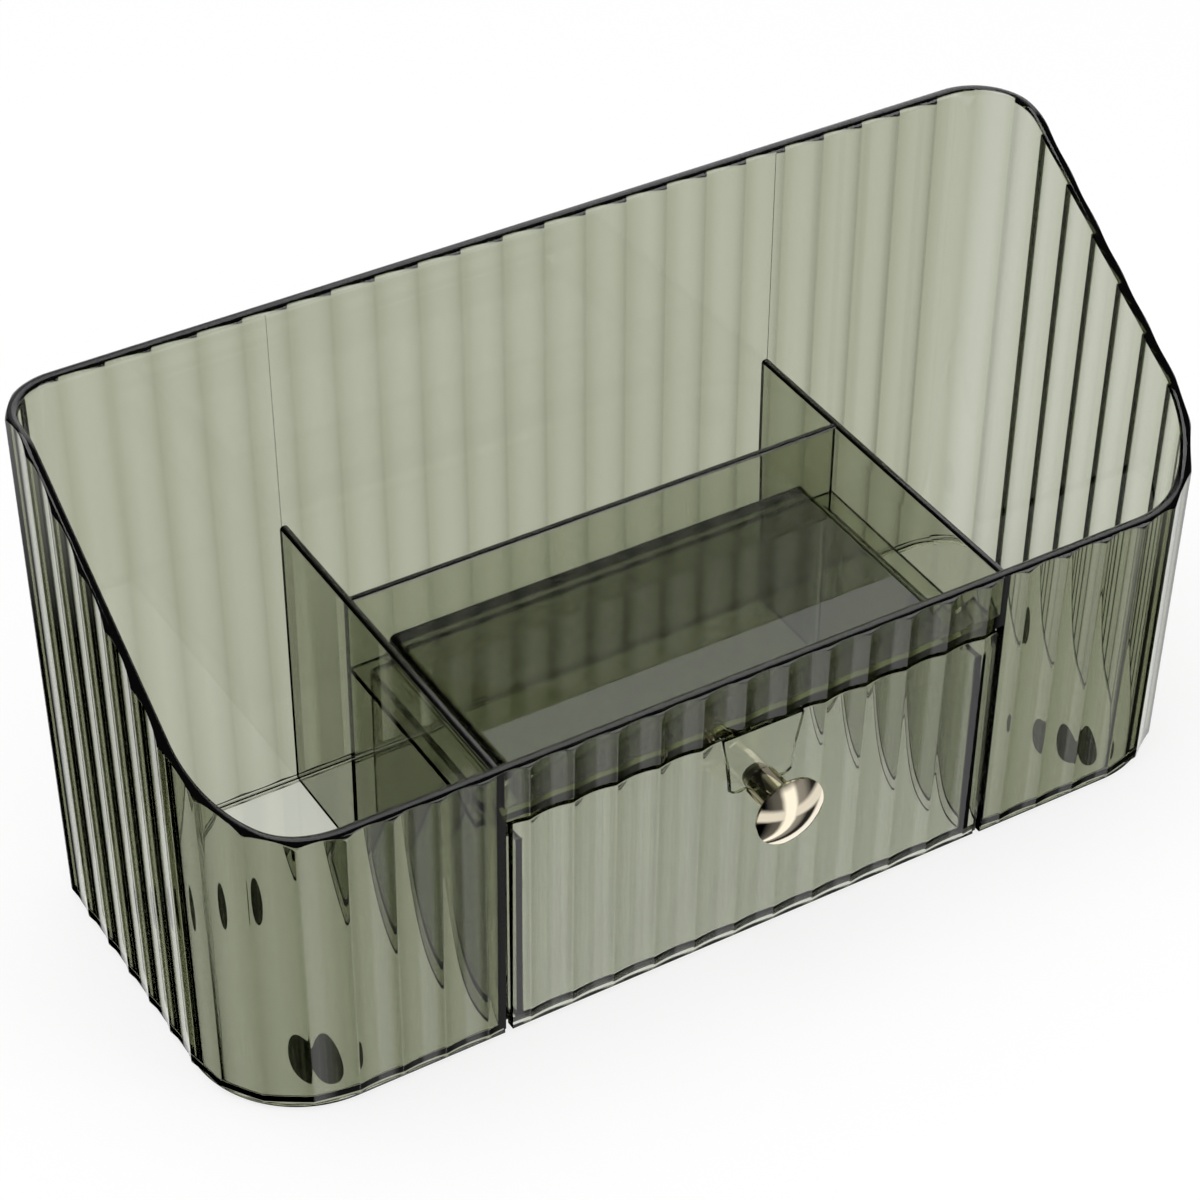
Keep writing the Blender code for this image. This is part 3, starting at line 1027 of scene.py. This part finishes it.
def studioLevel(nodes, links):
    place = nodes.new("ShaderNodeTexCoord")
    split = nodes.new("ShaderNodeSeparateXYZ")
    links.new(place.outputs["Generated"], split.inputs[0])
    angle = nodes.new("ShaderNodeMath")
    angle.operation = "ARCTAN2"
    links.new(split.outputs["X"], angle.inputs[0])
    links.new(split.outputs["Y"], angle.inputs[1])
    turn = nodes.new("ShaderNodeMapRange")
    turn.inputs["From Min"].default_value = -math.pi
    turn.inputs["From Max"].default_value = math.pi
    links.new(angle.outputs[0], turn.inputs["Value"])
    height = nodes.new("ShaderNodeMapRange")
    height.inputs["From Min"].default_value = worldSettings["blend"][0]
    height.inputs["From Max"].default_value = worldSettings["blend"][1]
    links.new(split.outputs["Z"], height.inputs["Value"])
    mix = nodes.new("ShaderNodeMix")
    mix.data_type = "RGBA"
    links.new(height.outputs["Result"], mix.inputs["Factor"])
    for socket, name in ((6, "lowRing"), (7, "highRing")):
        ring = levelRing(nodes, links, turn.outputs["Result"], worldSettings[name])
        links.new(ring, mix.inputs[socket])
    rise = nodes.new("ShaderNodeMapRange")
    rise.inputs["From Min"].default_value = -1
    links.new(split.outputs["Z"], rise.inputs["Value"])
    lighter = nodes.new("ShaderNodeMix")
    lighter.data_type = "RGBA"
    lighter.blend_type = "LIGHTEN"
    lighter.inputs["Factor"].default_value = 1
    strip = levelRing(nodes, links, rise.outputs["Result"], worldSettings["strip"], half=1)
    links.new(mix.outputs[2], lighter.inputs[6])
    links.new(strip, lighter.inputs[7])
    return lighter.outputs[2]


def makeWorld():
    world = bpy.data.worlds.new("paleWorld")
    bpy.context.scene.world = world
    world.use_nodes = True
    nodes, links = world.node_tree.nodes, world.node_tree.links
    plain = nodes["Background"]
    plain.inputs["Color"].default_value = (1, 1, 1, 1)
    level = nodes.new("ShaderNodeMapRange")
    level.inputs["To Min"].default_value = worldSettings["light"]
    level.inputs["To Max"].default_value = worldSettings["seen"]
    links.new(backgroundRay(nodes, links), level.inputs["Value"])
    links.new(level.outputs["Result"], plain.inputs["Strength"])
    studio = nodes.new("ShaderNodeBackground")
    links.new(studioLevel(nodes, links), studio.inputs["Color"])
    mix = nodes.new("ShaderNodeMixShader")
    links.new(reflectedRay(nodes, links), mix.inputs["Fac"])
    links.new(plain.outputs[0], mix.inputs[1])
    links.new(studio.outputs[0], mix.inputs[2])
    links.new(mix.outputs[0], nodes["World Output"].inputs["Surface"])


makeWorld()

lampAim = Vector((0, 0, 0.06))
lampSettings = {
    "lampAbove": {"place": (-0.3, 0.1, 1.2), "size": 0.9, "power": 6.0},
    "lampFront": {"place": (0.7, -1.0, 0.8), "size": 0.7, "power": 4.0},
}
for name, settings in lampSettings.items():
    data = bpy.data.lights.new(name, "AREA")
    data.size = settings["size"]
    data.energy = settings["power"]
    lamp = bpy.data.objects.new(name, data)
    bpy.context.scene.collection.objects.link(lamp)
    aim = lampAim - Vector(settings["place"])
    lamp.location = settings["place"]
    lamp.rotation_euler = aim.to_track_quat("-Z", "Y").to_euler()
    lamp.visible_camera = False
    lamp.visible_transmission = False

cameraSettings = {
    "azimuth": -31.512,
    "elevation": 38.543,
    "roll": 0.552,
    "across": -0.009287,
    "upwards": 0.052857,
    "distance": 0.90493,
    "focalPixels": 3490.22,
    "pixels": 1200,
    "sensor": 36,
    "tableShift": 0.0005,
    "clip": (0.05, 20),
}


def makeCamera():
    azimuth = math.radians(cameraSettings["azimuth"])
    elevation = math.radians(cameraSettings["elevation"])
    roll = math.radians(cameraSettings["roll"])
    back = Vector((
        math.sin(azimuth) * math.cos(elevation),
        -math.cos(azimuth) * math.cos(elevation),
        math.sin(elevation),
    ))
    level = Vector((math.cos(azimuth), math.sin(azimuth), 0))
    upright = back.cross(level)
    right = level * math.cos(roll) + upright * math.sin(roll)
    up = upright * math.cos(roll) - level * math.sin(roll)
    eye = right * cameraSettings["across"] + up * cameraSettings["upwards"]
    eye += back * cameraSettings["distance"]
    eye += Vector((0, middleY, cameraSettings["tableShift"]))
    data = bpy.data.cameras.new("camera")
    data.sensor_width = cameraSettings["sensor"]
    data.lens = cameraSettings["focalPixels"] / cameraSettings["pixels"] * data.sensor_width
    data.clip_start, data.clip_end = cameraSettings["clip"]
    camera = bpy.data.objects.new("camera", data)
    bpy.context.scene.collection.objects.link(camera)
    turn = Matrix((right, up, back)).transposed().to_4x4()
    camera.matrix_world = Matrix.Translation(eye) @ turn
    bpy.context.scene.camera = camera


makeCamera()

bounces = 40  # many clear walls lie behind one another
scene = bpy.context.scene
scene.view_settings.view_transform = "Standard"
scene.cycles.max_bounces = bounces
scene.cycles.transmission_bounces = bounces
scene.cycles.glossy_bounces = bounces
scene.cycles.transparent_max_bounces = 24
scene.cycles.use_denoising = True
print("stage set")
